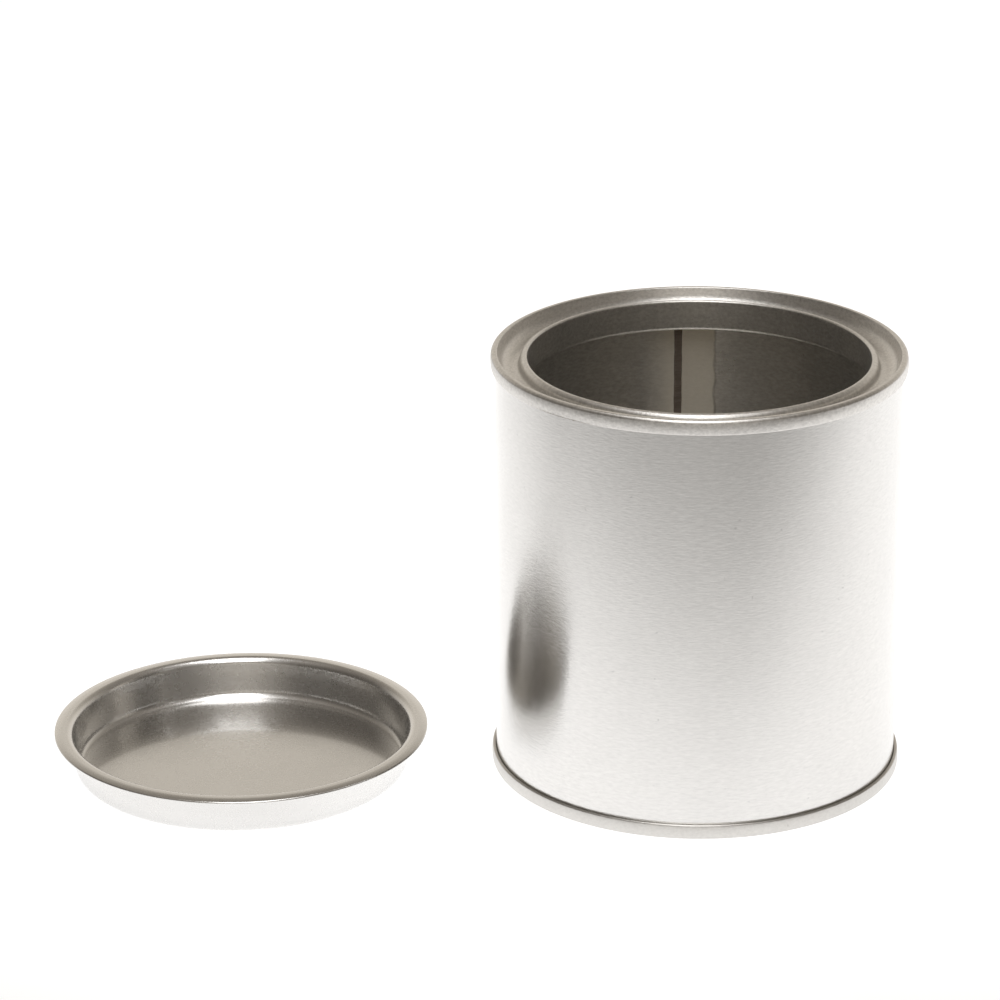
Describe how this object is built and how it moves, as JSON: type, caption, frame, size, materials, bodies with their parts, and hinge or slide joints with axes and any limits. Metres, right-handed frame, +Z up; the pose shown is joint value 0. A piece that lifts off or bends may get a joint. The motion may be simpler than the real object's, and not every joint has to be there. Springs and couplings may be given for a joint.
{
  "type": "paint tin",
  "caption": "Round tinplate paint tin with double-seamed ends, a lever groove round its mouth, and a loose plug lid lying beside it dish side up.",
  "frame": {"origin": "on the standing surface, below the middle of the box round tin and lid", "axes": "+Z up along the tin's axis, +X from the lid towards the tin, -Y towards the picture's viewer"},
  "size_m": [0.1572, 0.076, 0.08],
  "materials": {
    "body_tinplate": "satin tinplate with fine grain round the body",
    "end_tinplate": "satin tinplate, drawn bright at the bends",
    "lid_tinplate": "glossy tinplate with fine straight grain",
    "weld": "heat-darkened resistance weld",
    "seam_compound": "matt sealing compound"
  },
  "bodies": {
    "tin": {"body": "body_tinplate", "side_seam_weld": "weld", "lever_ring": "end_tinplate", "top_seam_compound": "seam_compound", "bottom_end": "end_tinplate", "bottom_seam_compound": "seam_compound"},
    "lid": {"lid": "lid_tinplate"}
  },
  "joints": [
    {"name": "lid_lift", "type": "slide", "parent": "tin", "child": "lid", "axis": [0, 0, 1], "range_m": [0, 0.09]}
  ]
}
